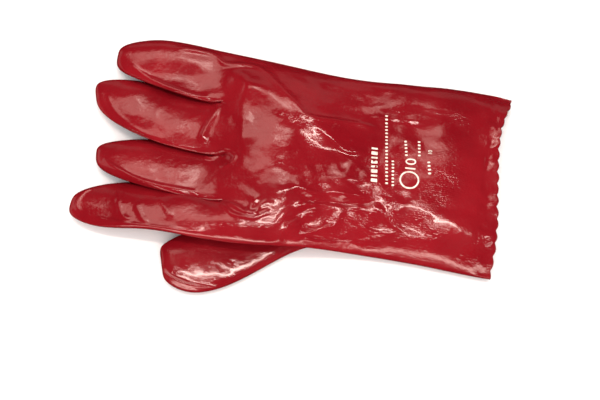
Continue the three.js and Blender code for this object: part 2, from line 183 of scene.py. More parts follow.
# Fine folds of the coat, in millimetres: the parts of the glove that a fold crosses, its half width, its
# height, which is negative for a groove, the fade at both ends, and its line as (reach, side)
FINE_FOLDS = [
    # The long crease from the little finger down the back, and those at the fingers' roots
    ("hand little", 2.2, 1.5, 10, [
        (225, 62), (199, 61), (188, 54), (171, 55), (163, 52), (153, 43), (141, 31),
        (133, 23), (126, 19), (101, 22), (82, 23),
    ]),
    ("hand little ring", 2.0, 0.5, 10, [
        (178, 52), (174, 44), (170, 36), (172, 21), (168, 11), (166, -10),
    ]),
    ("hand ring", 1.8, 1.8, 4, [(190, 27), (187, 23), (188, 15), (191, 6), (192, 0), (191, -5)]),
    ("hand middle ring", 1.3, 1.6, 3, [
        (190, -12), (184, -13), (178, -9), (172, -10), (169, -13), (170, -17), (177, -21),
    ]),
    # Between the index finger and the thumb
    ("hand middle", 1.2, 1.0, 5, [
        (174, -43), (170, -46), (162, -52), (156, -53), (149, -53), (143, -49), (140, -45),
    ]),
    ("hand", 1.1, 0.8, 4, [(154, -52), (150, -42), (148, -37)]),
    ("hand", 1.0, 0.7, 4, [(150, -53), (145, -44), (142, -40)]),
    ("hand", 2.0, 1.6, 8, [(142, -68), (134, -66), (129, -57), (122, -49), (116, -43), (108, -40)]),
    ("hand", 1.5, 1.2, 8, [(137, -61), (131, -48), (122, -40), (111, -36), (107, -36)]),
    # At the wrist, on the index finger's side
    ("hand", 1.6, -1.3, 12, [
        (132, -31), (126, -32), (116, -36), (106, -33), (93, -32), (81, -29), (72, -26),
    ]),
    ("hand", 1.8, 1.0, 8, [(130, -27), (116, -31), (106, -28), (93, -27), (81, -24)]),
    ("hand", 1.6, 1.1, 6, [(119, -58), (108, -51), (99, -46), (98, -40), (94, -34)]),
    ("hand", 1.0, -0.7, 8, [(119, -57), (101, -55), (83, -52), (65, -46)]),
    ("hand", 1.2, 0.8, 8, [(122, -60), (106, -58), (91, -55), (80, -49)]),
    ("hand", 1.6, 0.9, 8, [(96, -36), (86, -42), (76, -46), (60, -44)]),
    ("hand", 1.4, 0.8, 8, [(78, -28), (66, -38), (52, -44), (40, -47)]),
    # Across the index finger
    ("index", 1.3, 1.1, 4, [(236, -40), (236, -45), (236, -51), (231, -61), (224, -65)]),
    ("index", 1.2, 1.0, 4, [(224, -50), (222, -55), (217, -62), (212, -66)]),
    # The rolled near edges of the fingers
    ("little", 1.6, 1.2, 5, [(252, 46), (240, 38.5), (223, 32), (207, 28), (192, 27)]),
    ("middle", 1.6, 1.2, 5, [
        (253, -23), (247, -28), (239, -31.5), (227, -36), (215, -38), (200, -39), (186, -39),
    ]),
    ("ring", 1.2, 0.5, 6, [(262, 26), (256, 14), (246, 5), (232, -2), (214, -6)]),
    ("index", 1.4, 0.8, 6, [(250, -63), (236, -66), (212, -67), (193, -66.5), (174, -66)]),
    # The index finger's tip, middle and root
    ("index", 1.3, 1.0, 4, [(254, -43), (259, -46), (262, -52), (262, -58), (258, -62)]),
    ("index", 1.4, 0.9, 5, [(212, -43), (208, -49), (203, -55), (199, -61)]),
    ("hand", 1.6, 1.2, 4, [(169, -44), (160, -47), (154, -50), (146, -49)]),
    # The thumb's rim
    ("thumb", 1.3, 1.1, 5, [
        (192, -62), (202, -68), (205, -77), (202, -87), (192, -94), (176, -96), (156, -92),
        (136, -83),
    ]),
    # The broad ridge across the knuckles
    ("hand little ring", 6.0, 1.1, 12, [
        (171, 44), (168, 36), (169, 21), (166, 11), (164, -10), (162, -26),
    ]),
    # The middle of the back and the cuff
    ("hand", 2.2, 0.9, 10, [(126, 19), (112, 8), (98, 2), (84, 6)]),
    ("hand", 2.4, 0.8, 10, [(100, 22), (86, 30), (70, 33), (50, 34)]),
    ("hand", 2.4, 0.8, 10, [(60, 42), (40, 44), (20, 46)]),
    ("hand", 3.0, 0.9, 8, [(31, 0), (25, 9), (17, 18)]),
]

# Broad swellings and hollows, in millimetres: parts, centre (reach, side), half length, half width,
# turn in degrees, height
LUMPS = [
    ("little", (222, 62), 44, 11, -3, 3.0),
    ("little", (216, 40), 42, 8, -5, -1.5),
    ("little", (198, 33), 13, 10, 0, -1.6),
    ("hand little", (186, 40), 11, 12, 0, -2.0),
    ("ring", (243, 27), 9, 9, 0, 1.6),
    ("ring", (236, -4), 22, 10, 0, -1.8),
    ("ring", (212, 0), 8, 9, 0, 0.6),
    ("middle", (243, -31), 14, 8, 0, 1.3),
    ("middle", (188, -28), 8, 10, 0, -0.8),
    ("index", (193, -42), 13, 10, 0, 2.4),
    ("index", (226, -50), 20, 9, 0, 1.0),
    ("hand middle ring", (182, -22), 13, 14, 0, -1.6),
    ("hand", (156, 50), 16, 14, 20, 2.0),
    ("hand", (138, -8), 16, 24, 0, 2.4),
    ("hand", (104, 12), 12, 8, 20, 1.0),
    ("hand", (88, -8), 9, 12, 0, -0.9),
    ("hand", (64, 60), 34, 13, 0, 3.0),
    ("hand", (60, 20), 14, 16, 0, -0.9),
    ("hand", (36, 4), 16, 16, 0, 2.6),
]

# Crumples, in millimetres: cell size along reach and side, the distance to the side over which the
# cells lean by one cell, and a number that picks the pattern
SOFT_CRUMPLE = (17.0, 13.0, math.inf, 3.1)
FINE_CRUMPLE = (7.5, 5.5, 30.0, 8.7)
SHARP_CRUMPLE = (12.0, 9.0, 25.0, 5.3)
SOFT_HEIGHT = 0.8
FINE_HEIGHT = 0.35
WRIST_FINE_HEIGHT = 0.25  # what the wrist has beyond that
WRIST_SHARP_HEIGHT = 0.75
WRIST_CENTRE = (88.0, -18.0)  # reach, side
WRIST_SIZE = (42.0, 30.0)  # half length and half width of the crumpled patch
DIGIT_CRUMPLE = 0.42  # share of the crumples that the digits have
KNUCKLE_CRUMPLE = 0.65  # share that the back has toward the knuckles
CRUMPLE_BLEND = (150.0, 110.0)  # reach where that share starts to grow, and where it is whole
CUFF_DROP = 3.0  # how much lower the cuff's end lies
CUFF_DROP_FROM = 42.0  # reach where it starts to drop
CUFF_DROP_BEND = 1.5  # above 1, it starts to drop more gently

FOLDS_FACING = (0.2, 0.8)  # upward part of a normal where the folds begin, and where they are whole

# The faces that aren't merged: those that face up from BACK_FROM on, and all those near the rim
BACK_FACING = 0.12  # upward part of the normal
BACK_FROM = 58.0  # reach
RIM_ZONE = 16.0  # reach
JERSEY_LIFT = 0.8  # lowest height of the jersey, as a share of WALL


def lerp(a, b, t):
    return a + (b - a) * t


def smoothstep(x, low, high):
    t = np.clip((x - low) / (high - low), 0, 1)
    return t * t * (3 - 2 * t)


def totals(count, where, values):
    """For each of count places, the sum of the values that go to it."""
    result = np.zeros((count,) + values.shape[1:])
    np.add.at(result, where, values)
    return result


class Cage:
    """Control points with the share that each part has of them, faces of four corners and sharp edges."""

    def __init__(self):
        self.points = []
        self.faces = []
        self.sharp = []

    def add(self, reach, side, height, part):
        shares = [1.0 if part == name else 0.0 for name in PARTS]
        self.points.append([-reach, side, height] + shares)
        return len(self.points) - 1

    def bridge(self, ring_a, ring_b):
        count = len(ring_a)
        for k in range(count):
            n = (k + 1) % count
            self.faces.append([ring_a[k], ring_b[k], ring_b[n], ring_a[n]])


def hand_ring(cage, section):
    reach, far, near, top, far_base, near_base = section
    share = min(max(reach, 0), 1)
    at_knuckles = section is SECTIONS[-1]
    rows = {"top": [], "bottom": []}
    for j, (mouth, knuckle, crown, belly, lead, peak, sole) in enumerate(COLUMNS):
        nearness = j / (len(COLUMNS) - 1)
        across = lerp(mouth, knuckle, share)
        side = lerp(near, far, (across + 1) / 2) * HALF_PALM
        ahead = lead * (1 if at_knuckles else share**LEAD_ONSET) * FINGER_LENGTH
        base = lerp(far_base, near_base, nearness**BASE_BEND)
        high = peak if at_knuckles else lerp(base, top, crown)
        low = sole if at_knuckles else lerp(base, top, belly)
        place = reach * HAND_LENGTH + ahead
        rows["top"].append(cage.add(place, side, high * HAND_HEIGHT, "hand"))
        rows["bottom"].append(cage.add(place, side, low * HAND_HEIGHT, "hand"))
    return rows


def build_hand(cage):
    rings = [hand_ring(cage, section) for section in SECTIONS]
    last = len(COLUMNS) - 1
    hole_section, hole_column = THUMB_HOLE
    for i, (a, b) in enumerate(zip(rings[:-1], rings[1:])):
        for j in range(last):
            cage.faces.append([a["top"][j], b["top"][j], b["top"][j + 1], a["top"][j + 1]])
            in_section = hole_section <= i < hole_section + 2
            in_column = hole_column <= j < hole_column + 2
            if not (in_section and in_column):
                cage.faces.append([a["bottom"][j], a["bottom"][j + 1], b["bottom"][j + 1], b["bottom"][j]])
        cage.faces.append([a["top"][0], a["bottom"][0], b["bottom"][0], b["top"][0]])
        cage.faces.append([a["top"][last], b["top"][last], b["bottom"][last], a["bottom"][last]])
    return rings


def digit_corners(row, length, thickness):
    """Functions for points at a ring's far edge, middle and near edge, then half the height of its edges
    and of its middle, and how far its lower rim stands out."""
    reach, slant, far, near, far_rise, near_rise, thick, under = row
    half = slant * length / 2
    middle = HAND_LENGTH + reach * length
    thick *= thickness
    far_height, near_height = far_rise * thickness, near_rise * thickness
    edge, rise, out = SIDE_EDGE * thick, MIDDLE_RISE * thick, under * thickness

    def at_far(up):
        return (middle + half, far * HALF_PALM, far_height + up)

    def at_near(up, beyond):
        return (middle - half, near * HALF_PALM - beyond, near_height + up)

    def at_middle(up):
        return (middle, (far + near) / 2 * HALF_PALM, (far_height + near_height) / 2 + up)

    return at_far, at_middle, at_near, edge, rise, out


def build_finger(cage, name, rows, root):
    ring = root["top"] + root["bottom"][::-1]
    edge_line = [root["top"][-1]]
    for row in rows:
        at_far, at_middle, at_near, edge, rise, out = digit_corners(row, FINGER_LENGTH, FINGER_THICKNESS)
        corners = [
            at_far(edge), at_middle(rise), at_near(edge, 0),
            at_near(-edge, out), at_middle(-rise), at_far(-edge),
        ]
        following = [cage.add(*corner, name) for corner in corners]
        cage.bridge(ring, following)
        ring = following
        edge_line.append(ring[2])
    cage.faces.append([ring[0], ring[5], ring[4], ring[1]])
    cage.faces.append([ring[1], ring[4], ring[3], ring[2]])
    sharpness = EDGE_SHARPNESS[name]
    for k, (start, end) in enumerate(zip(edge_line[:-1], edge_line[1:])):
        cage.sharp.append((start, end, sharpness if k else sharpness * ROOT_SHARPNESS))


def build_thumb(cage, rings):
    hole_section, hole_column = THUMB_HOLE
    back, middle, front = [rings[hole_section + k]["bottom"] for k in range(3)]
    first, centre, last = [hole_column + k for k in range(3)]
    ring = [
        front[first], front[centre], front[last], middle[last],
        back[last], back[centre], back[first], middle[first],
    ]
    for row in THUMB:
        at_far, at_middle, at_near, edge, rise, _ = digit_corners(row, THUMB_LENGTH, THUMB_THICKNESS)
        edge *= THUMB_EDGE
        corners = [
            at_far(edge), at_middle(rise), at_near(edge, 0), at_near(0, 0),
            at_near(-edge, 0), at_middle(-rise), at_far(-edge), at_far(0),
        ]
        following = [cage.add(*corner, "thumb") for corner in corners]
        cage.bridge(ring, following)
        ring = following
    cage.faces.append([ring[0], ring[7], ring[6], ring[5]])
    cage.faces.append([ring[0], ring[5], ring[4], ring[1]])
    cage.faces.append([ring[1], ring[4], ring[3], ring[2]])


def refine(points, quads, sharp):
    """One round of Catmull-Clark subdivision, with creases. The first points are the old ones, moved."""
    count = len(points)
    sides = np.stack([quads, np.roll(quads, -1, axis=1)], axis=-1).reshape(-1, 2)
    keys = sides.min(axis=1) * count + sides.max(axis=1)
    unique, which, times = np.unique(keys, return_inverse=True, return_counts=True)
    ends = np.stack([unique // count, unique % count], axis=-1)
    which = which.reshape(-1, 4)
    inner = times == 2

    # New points in the faces and on the edges, where a crease keeps the edge's own middle
    centres = points[quads].mean(axis=1)
    middles = points[ends].mean(axis=1)
    beside = totals(len(unique), which.ravel(), np.repeat(centres, 4, axis=0))
    soft = np.where(inner[:, None], (middles + beside / 2) / 2, middles)
    hardness = np.zeros(len(unique))
    if len(sharp):
        lines = sharp[:, :2].astype(int)
        spots = np.searchsorted(unique, lines.min(axis=1) * count + lines.max(axis=1))
        hardness[spots] = sharp[:, 2]
    hard = np.clip(hardness, 0, 1)[:, None]
    edge_points = soft * (1 - hard) + middles * hard

    # The old points, moved by the faces and edges around them
    valence = np.bincount(quads.ravel(), minlength=count)
    edge_count = np.bincount(ends.ravel(), minlength=count)
    face_sum = totals(count, quads.ravel(), np.repeat(centres, 4, axis=0))
    edge_sum = totals(count, ends.ravel(), np.repeat(middles, 2, axis=0))
    n = np.maximum(valence, 1)[:, None]
    moved = (face_sum / n + 2 * edge_sum / np.maximum(edge_count, 1)[:, None] + (n - 3) * points) / n

    def along_lines(chosen):
        """Sum of each point's neighbours along the chosen edges, how many they are and their hardness."""
        pairs = ends[chosen]
        total = totals(count, pairs[:, 0], points[pairs[:, 1]])
        total += totals(count, pairs[:, 1], points[pairs[:, 0]])
        degree = np.bincount(pairs.ravel(), minlength=count)
        strength = totals(count, pairs.ravel(), np.repeat(np.clip(hardness[chosen], 0, 1), 2))
        return total, degree, strength

    # Points on the rim and on a crease move along it, and a point that no face uses stays
    total, degree, _ = along_lines(~inner)
    rim = degree == 2
    moved[rim] = (6 * points[rim] + total[rim]) / 8
    total, degree, strength = along_lines(hardness > 0)
    creased = (degree == 2) & ~rim
    share = (strength / 2)[:, None]
    line_rule = (6 * points + total) / 8
    moved[creased] = (moved * (1 - share) + line_rule * share)[creased]
    moved[valence == 0] = points[valence == 0]

    edge_ids = count + which
    face_ids = count + len(unique) + np.arange(len(quads))
    new = np.empty((len(quads), 4, 4), int)
    for k in range(4):
        new[:, k] = np.stack([quads[:, k], edge_ids[:, k], face_ids, edge_ids[:, (k + 3) % 4]], axis=-1)
    following = []
    if len(sharp):
        for (a, b), spot, value in zip(lines, spots, sharp[:, 2]):
            if value > 1:
                following += [(a, count + spot, value - 1), (count + spot, b, value - 1)]
    result = np.concatenate([moved, edge_points, centres])
    return result, new.reshape(-1, 4), np.array(following).reshape(-1, 3)


def normals_of(points, quads):
    p = points[:, :3]
    cross = np.cross(p[quads[:, 2]] - p[quads[:, 0]], p[quads[:, 3]] - p[quads[:, 1]])
    normals = totals(len(p), quads.ravel(), np.repeat(cross, 4, axis=0))
    return normals / np.maximum(np.linalg.norm(normals, axis=1), 1e-9)[:, None]


def from_line(flat, line, fade):
    """Distance of flat points from a line of points, and a weight that fades at the line's two ends."""
    line = np.array(line, float)
    best = np.full(len(flat), math.inf)
    run = np.zeros(len(flat))
    start = 0.0
    for a, b in zip(line[:-1], line[1:]):
        step = b - a
        length = np.linalg.norm(step)
        t = np.clip((flat - a) @ step / length**2, 0, 1)
        distance = np.linalg.norm(flat - (a + t[:, None] * step), axis=1)
        nearer = distance < best
        best = np.where(nearer, distance, best)
        run = np.where(nearer, start + t * length, run)
        start += length
    weight = smoothstep(run, 0, fade) * smoothstep(start - run, 0, fade)
    return best, weight


def resampled(line, step=2.0):
    """The line through the given points as a smooth curve, with a point about every step millimetres."""
    points = np.array(line, float)
    padded = np.concatenate([[2 * points[0] - points[1]], points, [2 * points[-1] - points[-2]]])
    result = []
    for k in range(1, len(padded) - 2):
        p0, p1, p2, p3 = padded[k - 1 : k + 3]
        linear = p2 - p0
        square = 2 * p0 - 5 * p1 + 4 * p2 - p3
        cube = 3 * p1 - p0 - 3 * p2 + p3
        pieces = max(int(np.linalg.norm(p2 - p1) / step), 1)
        for t in np.arange(pieces) / pieces:
            result.append(0.5 * (2 * p1 + linear * t + square * t**2 + cube * t**3))
    result.append(points[-1])
    return np.array(result)


def share_of(points, names):
    """How much of each point belongs to the named parts."""
    return sum(points[:, 3 + PARTS.index(name)] for name in names.split())


def broad_folds(flat):
    lift = np.zeros(len(flat))
    for from_reach, from_side, to_reach, to_side, width, rise in BROAD_FOLDS:
        line = np.array([(from_reach, from_side), (to_reach, to_side)]) * (HAND_LENGTH, HALF_PALM)
        distance, _ = from_line(flat, line, 1)
        lift += rise * FOLD_HEIGHT * np.exp(-((distance / (width * FOLD_WIDTH)) ** 2))
    return lift


def lumps(flat, points):
    lift = np.zeros(len(flat))
    for names, centre, length, width, turn, height in LUMPS:
        angle = math.radians(turn)
        off = flat - centre
        u = (off[:, 0] * math.cos(angle) + off[:, 1] * math.sin(angle)) / length
        v = (off[:, 1] * math.cos(angle) - off[:, 0] * math.sin(angle)) / width
        lift += share_of(points, names) * height * np.exp(-(u**2) - v**2)
    return lift


def fine_folds(flat, points):
    lift = np.zeros(len(flat))
    for names, width, height, fade, line in FINE_FOLDS:
        distance, weight = from_line(flat, resampled(line), fade)
        profile = 1 / (1 + (distance / width) ** 2) ** 1.5
        lift += share_of(points, names) * weight * height * profile
    return lift


def pattern(points, crumple):
    """Smooth noise between -1 and 1 over the glove, in the crumple's own cells."""
    length, width, lean, seed = crumple
    return np.array([noise.noise((x / length + y / lean, y / width, seed)) for x, y in points[:, :2]])


def crumples(flat, points):
    """Soft waves all over, and sharp creases at the wrist."""
    hand = share_of(points, "hand")
    fine = pattern(points, FINE_CRUMPLE)
    everywhere = SOFT_HEIGHT * pattern(points, SOFT_CRUMPLE) + FINE_HEIGHT * fine
    creases = np.clip(1 - 2 * np.abs(pattern(points, SHARP_CRUMPLE)), 0, 1) ** 3
    at_wrist = WRIST_FINE_HEIGHT * fine + WRIST_SHARP_HEIGHT * creases
    off = (flat - WRIST_CENTRE) / WRIST_SIZE
    wrist = np.exp(-(off[:, 0] ** 2) - off[:, 1] ** 2) * hand
    start, whole = CRUMPLE_BLEND
    on_back = lerp(KNUCKLE_CRUMPLE, 1.0, smoothstep(-flat[:, 0], -start, -whole))
    share = on_back * hand + DIGIT_CRUMPLE * (1 - hand)
    return share * everywhere + wrist * at_wrist


def shape_coat(points, quads):
    """Presses the folds, swellings and crumples into the coat's points where they face up."""
    up = smoothstep(normals_of(points, quads)[:, 2], *FOLDS_FACING)
    flat = np.stack([-points[:, 0], points[:, 1]], axis=-1)
    near_rim = smoothstep(points[:, 0], -CUFF_DROP_FROM, 0) ** CUFF_DROP_BEND
    drop = CUFF_DROP * near_rim * share_of(points, "hand")
    lift = broad_folds(flat) + lumps(flat, points) + fine_folds(flat, points) - drop
    points[:, 2] += up * (lift + crumples(flat, points))
    points[:, 2] = np.maximum(points[:, 2], 0)


def mouth_line(side):
    """Where the scalloped rim stands along X for a place across the cuff."""
    count = round(PALM_WIDTH * SCALLOPED_SPAN / SCALLOP_PITCH)
    phase = (side + count * SCALLOP_PITCH / 2) / SCALLOP_PITCH
    wave = np.abs(np.sin(np.pi * phase)) * SCALLOP_DEPTH - SCALLOP_DEPTH / 2
    share = side / HALF_PALM
    back = np.zeros_like(side)
    for (from_side, from_back), (to_side, to_back) in zip(MOUTH_LINE[:-1], MOUTH_LINE[1:]):
        between = (share >= from_side) & (share < to_side)
        back = np.where(between, lerp(from_back, to_back, smoothstep(share, from_side, to_side)), back)
    return wave - back * MOUTH_BOW


def trim_mouth(points, quads):
    """Draws the last stretch of the cuff up to the scalloped rim, and ripples it with the scallops."""
    end = -SECTIONS[0][0] * HAND_LENGTH
    t = np.clip((points[:, 0] + MOUTH_BLEND) / (end + MOUTH_BLEND), 0, 1)
    inside = points[:, 0] > -MOUTH_BLEND
    points[inside, 0] = lerp(-MOUTH_BLEND, mouth_line(points[:, 1]), t)[inside]
    normals = normals_of(points, quads)
    ripple = np.cos(2 * np.pi * (points[:, 1] / SCALLOP_PITCH + 0.5)) * RIPPLE
    rippled = smoothstep(t, RIPPLE_FROM, 1.0) * ripple * (np.abs(normals[:, 2]) > RIPPLE_FACING)
    points[:, :3] += normals * rippled[:, None]
    points[:, 2] = np.maximum(points[:, 2], 0)


def build_shell():
    """The coat's outside as points and faces of four corners, and the CAD model's corner in the cage."""
    cage = Cage()
    rings = build_hand(cage)
    for k, (name, rows) in enumerate(FINGERS.items()):
        taken = slice(k * PER_FINGER, (k + 1) * PER_FINGER + 1)
        build_finger(cage, name, rows, {layer: row[taken] for layer, row in rings[-1].items()})
    build_thumb(cage, rings)
    points, quads, sharp = np.array(cage.points), np.array(cage.faces), np.array(cage.sharp)
    for level in range(1, SUBDIVISIONS + 1):
        points, quads, sharp = refine(points, quads, sharp)
        if level == BOX_LEVEL:
            lowest = points[:, :2].min(axis=0)
    shape_coat(points, quads)
    trim_mouth(points, quads)
    return points, quads, lowest


def merged_faces(quads, groups):
    """The outline of each group of faces, without the corners that only two groups share."""
    members, groups_at, edge_faces = {}, {}, {}
    for f, (quad, group) in enumerate(zip(quads, groups)):
        members.setdefault(group, []).append(f)
        for k in range(4):
            a, b = quad[k], quad[(k + 1) % 4]
            groups_at.setdefault(a, set()).add(group)
            edge_faces.setdefault((min(a, b), max(a, b)), []).append(f)
    rim = {v for edge, faces in edge_faces.items() if len(faces) == 1 for v in edge}
    result = []
    for group, faces in members.items():
        if len(faces) == 1:
            result.append(list(quads[faces[0]]))
            continue
        following = {}
        for f in faces:
            for k in range(4):
                a, b = quads[f][k], quads[f][(k + 1) % 4]
                if sum(groups[g] == group for g in edge_faces[(min(a, b), max(a, b))]) == 1:
                    following[a] = b
        start = next(iter(following))
        loop = [start]
        while following[loop[-1]] != start:
            loop.append(following[loop[-1]])
        kept = [v for v in loop if len(groups_at[v]) > 2 or v in rim]
        result.append(kept if len(kept) > 2 else loop)
    return result


def coat_faces(place, normals, quads):
    """Faces of the outside and the inside, merged where their fineness doesn't show, and the rim's zone."""
    face_up = normals[quads].mean(axis=1)[:, 2]
    face_x = place[quads].mean(axis=1)[:, 0]
    faces = np.arange(len(quads))
    fours, sixteens = faces // 4, faces // 16
    up = np.repeat(face_up.reshape(-1, 4).max(axis=1), 4)
    rim_zone = np.repeat((face_x > -RIM_ZONE).reshape(-1, 16).any(axis=1), 16)
    fine = (up > BACK_FACING) & (face_x < -BACK_FROM) | rim_zone
    outer = merged_faces(quads, list(np.where(fine, faces, len(quads) + fours)))
    inner = merged_faces(quads, list(np.where(rim_zone, faces, len(quads) + sixteens)))
    return outer, inner, rim_zone


def coat_mesh():
    """The coat with the jersey inside, and how far the cage moves to lie where the CAD model does."""
    points, quads, lowest = build_shell()
    normals = normals_of(points, quads)
    low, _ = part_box("glove_shell")
    offset = np.array([low.x / MM - lowest[0], low.y / MM - lowest[1], 0.0])
    place = points[:, :3]
    outer, inner, rim_zone = coat_faces(place, normals, quads)
    inset = place - normals * WALL
    inset[:, 2] = np.maximum(inset[:, 2], WALL * JERSEY_LIFT)

    def directed_edges(chosen):
        return {(quad[k], quad[(k + 1) % 4]) for quad in chosen.tolist() for k in range(4)}

    whole = directed_edges(quads)
    rim_edges = [(a, b) for a, b in sorted(directed_edges(quads[rim_zone])) if (b, a) not in whole]
    count = len(points)
    faces = [tuple(f) for f in outer]
    faces += [tuple(v + count for v in reversed(f)) for f in inner]
    faces += [(b, a, a + count, b + count) for a, b in rim_edges]
    coat, jersey = 0, 1
    kinds = [coat] * len(outer) + [jersey] * len(inner) + [coat] * len(rim_edges)

    all_points = np.concatenate([place, inset]) + offset
    used = np.unique(np.concatenate([np.array(f) for f in faces]))
    renumber = -np.ones(len(all_points), int)
    renumber[used] = np.arange(len(used))
    mesh = bpy.data.meshes.new("glove_coat")
    mesh.from_pydata((all_points[used] * MM).tolist(), [], [tuple(renumber[list(f)]) for f in faces])
    mesh.polygons.foreach_set("material_index", kinds)
    mesh.polygons.foreach_set("use_smooth", [True] * len(faces))
    mesh.update()
    return mesh, offset


class Nodes:
    """A material with a few short ways to add nodes and links."""

    def __init__(self, name, **inputs):
        self.material = bpy.data.materials.new(name)
        self.material.use_nodes = True
        self.tree = self.material.node_tree
        self.shader = self.tree.nodes["Principled BSDF"]
        for key, value in inputs.items():
            self.shader.inputs[key.replace("_", " ")].default_value = value
        self.where = self.add("ShaderNodeTexCoord").outputs["Object"]

    def add(self, kind, values=None, **settings):
        node = self.tree.nodes.new(kind)
        for key, value in settings.items():
            setattr(node, key, value)
        for key, value in (values or {}).items():
            node.inputs[key].default_value = value
        return node

    def link(self, output, target):
        self.tree.links.new(output, target)

    def feed(self, output, name):
        self.link(output, self.shader.inputs[name])

    def noise(self, scale, detail=2.0, roughness=0.5):
        node = self.add("ShaderNodeTexNoise", {"Scale": scale, "Detail": detail, "Roughness": roughness})
        self.link(self.where, node.inputs["Vector"])
        return node.outputs["Fac"]

    def bands(self, scale, distortion, detail, detail_scale=1.0):
        values = {"Scale": scale, "Distortion": distortion, "Detail": detail, "Detail Scale": detail_scale}
        node = self.add("ShaderNodeTexWave", values, wave_type="BANDS", bands_direction="Y")
        self.link(self.where, node.inputs["Vector"])
        return node.outputs["Fac"]

    def ramp(self, value, low, high, to_low=0.0, to_high=1.0):
        values = {"From Min": low, "From Max": high, "To Min": to_low, "To Max": to_high}
        node = self.add("ShaderNodeMapRange", values)
        self.link(value, node.inputs["Value"])
        return node.outputs["Result"]

    def math(self, operation, a, b):
        node = self.add("ShaderNodeMath", operation=operation)
        for socket, value in zip(node.inputs, (a, b)):
            if isinstance(value, (int, float)):
                socket.default_value = value
            else:
                self.link(value, socket)
        return node.outputs["Value"]

    def mix(self, factor, a, b):
        node = self.add("ShaderNodeMix", data_type="RGBA")
        self.link(factor, node.inputs["Factor"])
        node.inputs["A"].default_value = (*a, 1)
        node.inputs["B"].default_value = (*b, 1)
        return node.outputs["Result"]

    def bump(self, height, distance, strength, under=None):
        node = self.add("ShaderNodeBump", {"Distance": distance, "Strength": strength})
        self.link(height, node.inputs["Height"])
        if under:
            self.link(under, node.inputs["Normal"])
        return node.outputs["Normal"]


def pvc_material():
    dark, light = (0.176, 0.0034, 0.0072), (0.228, 0.0060, 0.0108)
    polished, dull = 0.09, 0.21
    wave_height, mottle_height, knit_height = 0.0010, 0.0007, 0.0003
    knit_share = 0.12  # of the knit's lines in the grain that shows through
    calm = 0.45  # share of the mottling between the patches
    n = Nodes("pvc_coat", IOR=1.5, Coat_Weight=0.5, Coat_Roughness=0.08)
    tone = n.ramp(n.noise(scale=28.0, detail=3.0), 0.35, 0.68)
    n.feed(n.mix(tone, dark, light), "Base Color")
    smear = n.noise(scale=60.0, detail=4.0, roughness=0.6)
    n.feed(n.ramp(smear, 0.3, 0.75, polished, dull), "Roughness")

    # The jersey's knit prints through the coat in patches, toward the cuff
    place = n.add("ShaderNodeSeparateXYZ")
    n.link(n.where, place.inputs["Vector"])
    toward_cuff = n.ramp(place.outputs["X"], -0.03, 0.05)
    patches = n.noise(scale=34.0)
    amount = n.math("MULTIPLY", n.ramp(patches, 0.42, 0.6), toward_cuff)
    knit = n.bands(scale=230.0, distortion=1.2, detail=1.0, detail_scale=1.5)
    grain = n.math("ADD", n.math("MULTIPLY", knit, knit_share), n.noise(scale=620.0))
    print_through = n.math("MULTIPLY", grain, amount)

    # Low waves of the coat, mottling over them, and the print-through on top
    spots = n.noise(scale=230.0, detail=4.0, roughness=0.62)
    mottle = n.math("MULTIPLY", spots, n.ramp(patches, 0.35, 0.62, calm, 1.0))
    waves = n.bump(n.noise(scale=95.0, detail=3.0), wave_height, 0.5)
    mottled = n.bump(mottle, mottle_height, 0.6, waves)
    n.feed(n.bump(print_through, knit_height, 0.8, mottled), "Normal")
    return n.material


def jersey_material():
    shaded, bright = (0.55, 0.49, 0.42), (0.74, 0.69, 0.61)
    rib_height = 0.0004
    n = Nodes("cotton_jersey", Roughness=0.9)
    n.feed(n.mix(n.ramp(n.noise(scale=90.0, detail=3.0), 0.3, 0.7), shaded, bright), "Base Color")
    ribs = n.bands(scale=260.0, distortion=2.0, detail=2.0)
    n.feed(n.bump(ribs, rib_height, 0.8), "Normal")
    return n.material


def ink_material():
    worn, fresh = (0.62, 0.38, 0.33), (0.78, 0.72, 0.62)
    n = Nodes("print_ink", Roughness=0.45)
    wear = n.noise(scale=420.0, detail=3.0, roughness=0.7)
    n.feed(n.mix(n.ramp(wear, 0.28, 0.5), worn, fresh), "Base Color")
    return n.material


def floor_material():
    grey, pale = (0.86, 0.86, 0.86), (0.9, 0.9, 0.9)
    n = Nodes("studio_floor", Roughness=0.9, Specular_IOR_Level=0.1)
    n.feed(n.mix(n.noise(scale=3.0), grey, pale), "Base Color")
    return n.material


# The print on the back of the cuff, in millimetres: rows of small plain blocks, a ring and two numbers.
# A row has its start and end as (reach, side), the blocks' height and their widths.
PRINT_ROWS = [
    ((80, -15.5), (83, 8.5), 4.0, [2.2, 1.2, 2.4, 1.2, 2.0, 1.2, 2.2, 1.2]),
    ((72, -15), (79, 33.5), 1.7, [
        1.2, 1.0, 1.3, 1.1, 1.2, 1.0, 1.3, 1.2, 1.0, 1.2,
        1.1, 1.3, 1.0, 1.2, 1.1, 1.3, 1.0, 1.2, 1.1, 1.2,
    ]),
    ((68, -15.5), (70.5, 2), 1.6, [1.2, 1.0, 1.3, 1.0, 1.2, 1.1, 1.2, 1.0]),
    ((62.5, 7), (64.5, 17.5), 1.7, [1.2, 1.1, 1.2, 1.1, 1.2]),
    ((54.5, 8), (56, 19), 1.7, [1.1, 1.2, 1.1, 1.2, 1.1]),
    ((46.5, -3.5), (48.2, 5), 1.8, [1.2, 1.1, 1.2, 1.1]),
]
BLOCK_CORNER = 0.3
RING_PLACE = (58.5, -9.5)
RING_RADII = (6.2, 5.2)
RING_STEPS = 40
NUMBERS = [("10", 9.5, (58.7, 1.0)), ("10", 3.6, (48.0, 12.0))]  # text, size, place
PRINT_LEAN = 0.06  # how much reach the ring's and the numbers' baseline gains for each step to the side
INK_RISE = 0.12
INK_DEPTH = 0.3
ABOVE_GLOVE = 80.0  # height from which the marks are dropped onto the coat


